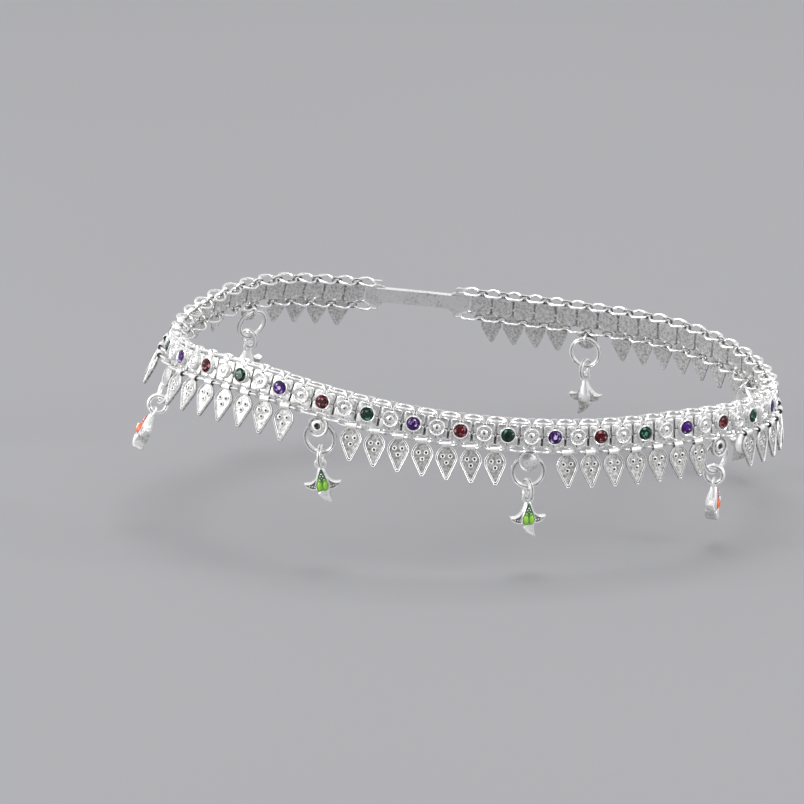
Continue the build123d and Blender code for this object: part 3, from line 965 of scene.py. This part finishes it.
def silver(name, metallic, rough_recess, rough_edge, modelled=True):
    """Cast silver, bright where it stands proud and dark in its recesses: partly rubbing and tarnish,
    partly painted highlights and painted shade.

    The roughness runs from rough_recess to rough_edge. A piece that isn't modelled here has
    no tone values, and gets them from a cloudy noise.
    """
    material, tree, shader = node_tree(name)
    if modelled:
        tone_and_painted_light = attribute(tree, "tone_and_painted_light")
    else:
        tone_and_painted_light = mapped(tree, noise(tree, CLOUD_SCALE, detail=3), 0.55, 1.1)
    grain = mapped(tree, noise(tree, GRAIN_SCALE, detail=3), -0.6, 0.6)
    # Tone with its painted shade and painted highlight, mottled by the grain.
    wear_and_painted_light = summed(tree, tone_and_painted_light, grain)
    pitting = bump(tree, noise(tree, PITTING_SCALE, detail=3), PITTING_DEPTH, strength=0.5)
    shader.inputs["Metallic"].default_value = metallic
    tree.links.new(ramp(tree, wear_and_painted_light, SILVER_TONES), shader.inputs["Base Color"])
    tree.links.new(mapped(tree, wear_and_painted_light, rough_recess, rough_edge), shader.inputs["Roughness"])
    tree.links.new(pitting, shader.inputs["Normal"])
    return material


def gem(name, deep, body, spark):
    """Cut glass stone whose facets each have their own painted brightness: painted reflections and
    glints.
    """
    material, tree, shader = node_tree(name)
    tone = attribute(tree, "tone")
    cloud = mapped(tree, noise(tree, GEM_CLOUD_SCALE, detail=1), -0.12, 0.12)
    stops = [(0.0, deep), (0.4, deep), (0.7, body), (0.84, body), (0.95, spark)]
    tree.links.new(ramp(tree, summed(tree, tone, cloud), stops), shader.inputs["Base Color"])
    tree.links.new(mapped(tree, tone, 0.03, 0.09), shader.inputs["Roughness"])
    shader.inputs["IOR"].default_value = 1.6
    shader.inputs["Specular IOR Level"].default_value = 0.25
    return material


def enamel_glaze(name, dark, light):
    """Glossy enamel: dark in the top field, light and slightly clouded in the others."""
    material, tree, shader = node_tree(name)
    cloud = mapped(tree, noise(tree, GLAZE_CLOUD_SCALE, detail=2), -0.25, 0.25)
    tone = summed(tree, attribute(tree, "tone_and_painted_light"), cloud)
    smears = mapped(tree, noise(tree, GLAZE_SMEAR_SCALE, detail=1), 0.06, 0.16)
    tree.links.new(ramp(tree, tone, [(0.0, dark), (1.0, light)]), shader.inputs["Base Color"])
    tree.links.new(smears, shader.inputs["Roughness"])
    shader.inputs["Coat Weight"].default_value = 0.8
    shader.inputs["Coat Roughness"].default_value = 0.05
    return material


# ------------------------------------------------------------------ pieces

def put_in_scene(name, data):
    """A new object in the scene."""
    body = bpy.data.objects.new(name, data)
    bpy.context.scene.collection.objects.link(body)
    return body


def piece(name, form, material, smooth=True):
    """Turns a form into a Blender mesh that rides on the part."""
    mesh = bpy.data.meshes.new(name)
    mesh.from_pydata([p * MM for p in form.points], [], form.faces)
    tone_and_painted_light = mesh.attributes.new("tone_and_painted_light", "FLOAT", "POINT")
    tone_and_painted_light.data.foreach_set("value", form.tone_and_painted_light)
    tone = mesh.attributes.new("tone", "FLOAT", "FACE")
    tone.data.foreach_set("value", form.tones)
    mesh.update()
    if smooth:
        mesh.shade_smooth()
        mesh.set_sharp_from_angle(angle=SHARP_ANGLE)
    mesh.materials.append(material)
    body = put_in_scene(name, mesh)
    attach(body, "root")
    return body


def build_band(bright):
    """All links with their jump rings, in one piece for each kind of link."""
    stations = range(FIRST_LINK, LAST_LINK + 1)
    kinds = {(s, d): link(s, d) for s in (True, False) for d in (True, False)}
    for with_stone, node in ((True, "band_stone_links"), (False, "band_dome_links")):
        row = [s for s in stations if (s % 2 == 0) == with_stone]
        form = Form()
        for station in row:
            form.add(kinds[with_stone, station in DROP_STATIONS], link_matrix(station))
        form.add(jump_rings(row))
        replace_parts(piece(node + "_cast", form, bright), node)


def build_stones():
    """Stones on every second link, one piece for each colour."""
    shuffle = random.Random(STONE_SEED)
    for index, (colour, tones) in enumerate(STONE_COLOURS.items()):
        form = Form()
        for station in range(FIRST_LINK, LAST_LINK + 1):
            if station % 2 == 0 and station // 2 % len(STONE_COLOURS) == index:
                spin = rotated("Y", shuffle.uniform(0, math.pi))
                form.add(stone(shuffle), link_matrix(station) @ spin)
        glass = gem(f"gem_{colour}", *tones)
        body = piece(f"stones_{colour}_cut", form, glass, smooth=False)
        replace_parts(body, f"stones_{colour}")


def build_leaves(satin):
    """Leaves on the lower jump rings, one piece for each stretch between two hanging drops."""
    shape = leaf()
    first = DROP_STATIONS[0] - DROP_SPACING
    for row in range(len(DROP_STATIONS) + 1):
        start = first + row * DROP_SPACING
        form = Form()
        for station in range(start + 1, start + DROP_SPACING - 1):
            if FIRST_LINK <= station < LAST_LINK:
                form.add(shape, leaf_matrix(station))
        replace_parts(piece(f"leaves_{row + 1}_cast", form, satin), f"leaves_{row + 1}")


def build_drops(white):
    """Big ring, bail ring, charm and enamel of each hanging drop."""
    green = enamel_glaze("enamel_green", *GREEN_ENAMEL)
    orange = enamel_glaze("enamel_orange", *ORANGE_ENAMEL)
    # The flat sides and the groove lines of the drop rings are painted dark, a painted reflection.
    grooved = {"wire_sides": 20, "flat": 0.0, "groove": GROOVE}
    big_ring = torus(BIG_RING, BIG_WIRE, sides=56, **grooved)
    big = Form().add(big_ring, moved(z=-BIG_RING) @ rotated("X", QUARTER_TURN))
    bail = Form().add(torus(BAIL_RING, BAIL_WIRE, sides=40, **grooved), rotated("Y", QUARTER_TURN))
    silver_part = charm()
    enamel_part = enamel()
    drops = zip(DROP_STATIONS, BAIL_TURNS, CHARM_TURNS, CHARM_SWINGS)
    for number, (station, bail_turn, charm_turn, swing) in enumerate(drops, start=1):
        matrix = drop_matrix(station)
        facing = rotated("Z", math.radians(charm_turn))
        hung = moved(z=CHARM_ORIGIN) @ facing @ rotated("Y", math.radians(swing))
        turned = rotated("Z", math.radians(bail_turn))
        rows = (
            (f"drop_ring_{number}", big, Matrix()),
            (f"drop_bail_{number}", bail, moved(z=BAIL_CENTRE) @ turned),
            (f"charm_{number}", silver_part, hung),
        )
        for node, form, local in rows:
            body = piece(node + "_cast", Form().add(form, matrix @ local), white)
            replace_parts(body, node)
        orange_one = number in ORANGE_DROPS
        body = piece(
            f"charm_enamel_{number}_glaze",
            Form().add(enamel_part, matrix @ hung),
            orange if orange_one else green,
        )
        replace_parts(body, f"charm_enamel_{number}")


def build_clasp(plain):
    """The clasp keeps its own solid and gets a finish."""
    for slot in NODES["clasp"].material_slots:
        slot.material = plain


# ------------------------------------------------------------------ stage

CAMERA_DISTANCE = 0.7         # metres
CAMERA_HEIGHT_ANGLE = math.radians(19.0)
TOWARD_CAMERA = Vector((0, -math.cos(CAMERA_HEIGHT_ANGLE), math.sin(CAMERA_HEIGHT_ANGLE)))
LENS = 184.58                 # millimetres
SENSOR = 36                   # millimetres across
AIM_RIGHT = -11.87 * MM       # the camera looks this far to the side of the loop's middle
AIM_UP = -6.46 * MM
FLOOR_DROP = 3.0 * MM         # below the lowest charm
FLOOR_HALF = 4                # metres
FLOOR_TONES = [(0.0, (0.25, 0.25, 0.26)), (1.0, (0.28, 0.28, 0.29))]
LIGHTS = [                    # name, place in metres, size, watts
    ("key", (-0.85, -0.15, 0.3), (0.5, 0.5), 4.0),
    ("fill", (0.8, -0.2, 0.4), (0.3, 0.4), 2.6),
    ("top", (0.0, 0.25, 0.9), (0.5, 0.4), 3.0),
]
ROOM_TONES = [                # from the far side of the room round to the dim patch behind the viewer
    (0.0, (0.85, 0.85, 0.87)), (0.5, (1.2, 1.2, 1.22)),
    (0.86, (1.2, 1.2, 1.22)), (0.94, (0.15, 0.15, 0.16)),
]


def look_along(body, direction):
    """Points a camera or a light along a direction, with its top up."""
    body.rotation_euler = direction.to_track_quat("-Z", "Y").to_euler()


def build_camera():
    """Camera at the outer side of the ankle, a little above the band."""
    right = Vector((1, 0, 0))
    up = right.cross(-TOWARD_CAMERA)
    data = bpy.data.cameras.new("camera")
    data.lens = LENS
    data.sensor_width = SENSOR
    data.clip_start = 0.01
    camera = put_in_scene("camera", data)
    camera.location = TOWARD_CAMERA * CAMERA_DISTANCE
    look_along(camera, right * AIM_RIGHT + up * AIM_UP - camera.location)
    bpy.context.scene.camera = camera


def build_floor():
    """Pale matt floor just under the charms."""
    mesh = bpy.data.meshes.new("floor")
    level = CAD_BOX[0][2] - FLOOR_DROP
    signs = ((-1, -1), (1, -1), (1, 1), (-1, 1))
    corners = [(FLOOR_HALF * x, FLOOR_HALF * y, level) for x, y in signs]
    mesh.from_pydata(corners, [], [(0, 1, 2, 3)])
    material, tree, shader = node_tree("floor_paper")
    paper = ramp(tree, noise(tree, PAPER_SCALE, detail=2), FLOOR_TONES)
    tree.links.new(paper, shader.inputs["Base Color"])
    shader.inputs["Roughness"].default_value = 0.8
    mesh.materials.append(material)
    body = put_in_scene("floor", mesh)


def area_light(name, location, size, power):
    """Soft box that faces the anklet."""
    data = bpy.data.lights.new(name, "AREA")
    data.shape = "RECTANGLE"
    data.size, data.size_y = size
    data.energy = power
    light = put_in_scene(name, data)
    light.location = location
    look_along(light, -Vector(location))


def build_light():
    """Soft boxes left, right and above, in a bright room with a dim patch behind the viewer."""
    for row in LIGHTS:
        area_light(*row)
    world = bpy.data.worlds.new("room")
    bpy.context.scene.world = world
    world.use_nodes = True
    tree = world.node_tree
    background = tree.nodes["Background"]
    place = add_node(tree, "ShaderNodeTexCoord")
    toward = add_node(tree, "ShaderNodeVectorMath", operation="DOT_PRODUCT")
    toward.inputs[1].default_value = TOWARD_CAMERA
    tree.links.new(place.outputs["Generated"], toward.inputs[0])
    tree.links.new(ramp(tree, toward.outputs["Value"], ROOM_TONES), background.inputs["Color"])
    background.inputs["Strength"].default_value = 1.0
    bpy.context.scene.view_settings.view_transform = "Standard"


# ------------------------------------------------------------------ all

build_camera()
build_floor()
build_light()
build_band(silver("silver_bright", metallic=0.7, rough_recess=0.3, rough_edge=0.12))
build_stones()
build_leaves(silver("silver_satin", metallic=0.55, rough_recess=0.5, rough_edge=0.28))
build_drops(silver("silver_white", metallic=0.4, rough_recess=0.35, rough_edge=0.15))
build_clasp(silver("silver_plain", metallic=0.9, rough_recess=0.4, rough_edge=0.2, modelled=False))
